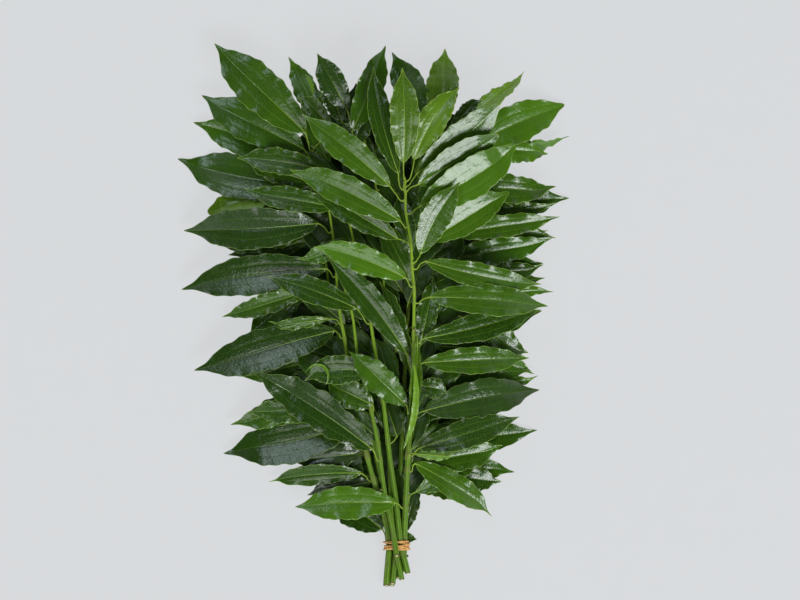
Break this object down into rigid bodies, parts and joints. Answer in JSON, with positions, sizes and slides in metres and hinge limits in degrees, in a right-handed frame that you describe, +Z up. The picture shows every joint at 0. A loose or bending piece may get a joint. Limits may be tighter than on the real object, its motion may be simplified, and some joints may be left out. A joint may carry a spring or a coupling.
{
  "type": "tied cocculus branch bunch",
  "caption": "Tied bunch of cut cocculus branches with long glossy leaves, lying on its back, held by a rubber band near the cut ends.",
  "frame": {"origin": "the middle of the bunch's outline in plan, on the surface that it lies on", "axes": "+Y runs along the bunch from the cut ends to the leaf tips, +X points right when it is seen from above with the tips up, +Z points up from the surface"},
  "size_m": [0.374, 0.5172, 0.089],
  "materials": {
    "leaf_old": "deep green leathery blade with a broad waxy sheen, paler and duller below",
    "leaf_grown": "mid green glossy leathery blade with lighter midrib and side veins",
    "leaf_young": "young bright green blade, soft gloss, yellow green veins and margin",
    "stem": "green ridged bark, satin, with leaf scars and pale pith at the cut ends",
    "rubber_band": "tan natural rubber, matt"
  },
  "bodies": {
    "root": {"leaf_centre_01": "leaf_young", "leaf_centre_02": "leaf_grown", "leaf_centre_03": "leaf_grown", "leaf_centre_04": "leaf_grown", "leaf_centre_05": "leaf_old", "leaf_centre_06": "leaf_grown", "leaf_centre_07": "leaf_young", "leaf_centre_08": "leaf_old", "leaf_centre_09": "leaf_young", "leaf_centre_10": "leaf_young", "leaf_left_01": "leaf_grown", "leaf_left_02": "leaf_old", "leaf_left_03": "leaf_old", "leaf_left_04": "leaf_old", "leaf_left_05": "leaf_grown", "leaf_left_06": "leaf_grown", "leaf_left_07": "leaf_old", "leaf_left_08": "leaf_old", "leaf_left_09": "leaf_old", "leaf_left_10": "leaf_old", "leaf_left_11": "leaf_old", "leaf_left_12": "leaf_old", "leaf_left_13": "leaf_old", "leaf_right_01": "leaf_young", "leaf_right_02": "leaf_grown", "leaf_right_03": "leaf_old", "leaf_right_04": "leaf_grown", "leaf_right_05": "leaf_grown", "leaf_right_06": "leaf_old", "leaf_right_07": "leaf_old", "leaf_right_08": "leaf_young", "leaf_right_09": "leaf_grown", "leaf_right_10": "leaf_old", "leaf_right_11": "leaf_grown", "leaf_right_12": "leaf_young", "leaf_right_13": "leaf_old", "leaf_right_14": "leaf_old", "leaf_right_15": "leaf_grown", "leaf_right_16": "leaf_old", "leaf_right_17": "leaf_old", "leaf_right_18": "leaf_young", "leaf_top_01": "leaf_grown", "leaf_top_02": "leaf_old", "leaf_top_03": "leaf_old", "leaf_top_04": "leaf_grown", "leaf_top_05": "leaf_young", "leaf_top_06": "leaf_old", "leaf_top_07": "leaf_young", "leaf_top_08": "leaf_young", "leaf_top_09": "leaf_grown", "leaf_top_10": "leaf_grown", "stem_far_left": "stem", "stem_left": "stem", "stem_short_front": "stem", "stem_middle": "stem", "stem_front_left": "stem", "stem_front": "stem", "stem_right": "stem", "stem_far_right": "stem", "rubber_band": "rubber_band"}
  },
  "joints": []
}
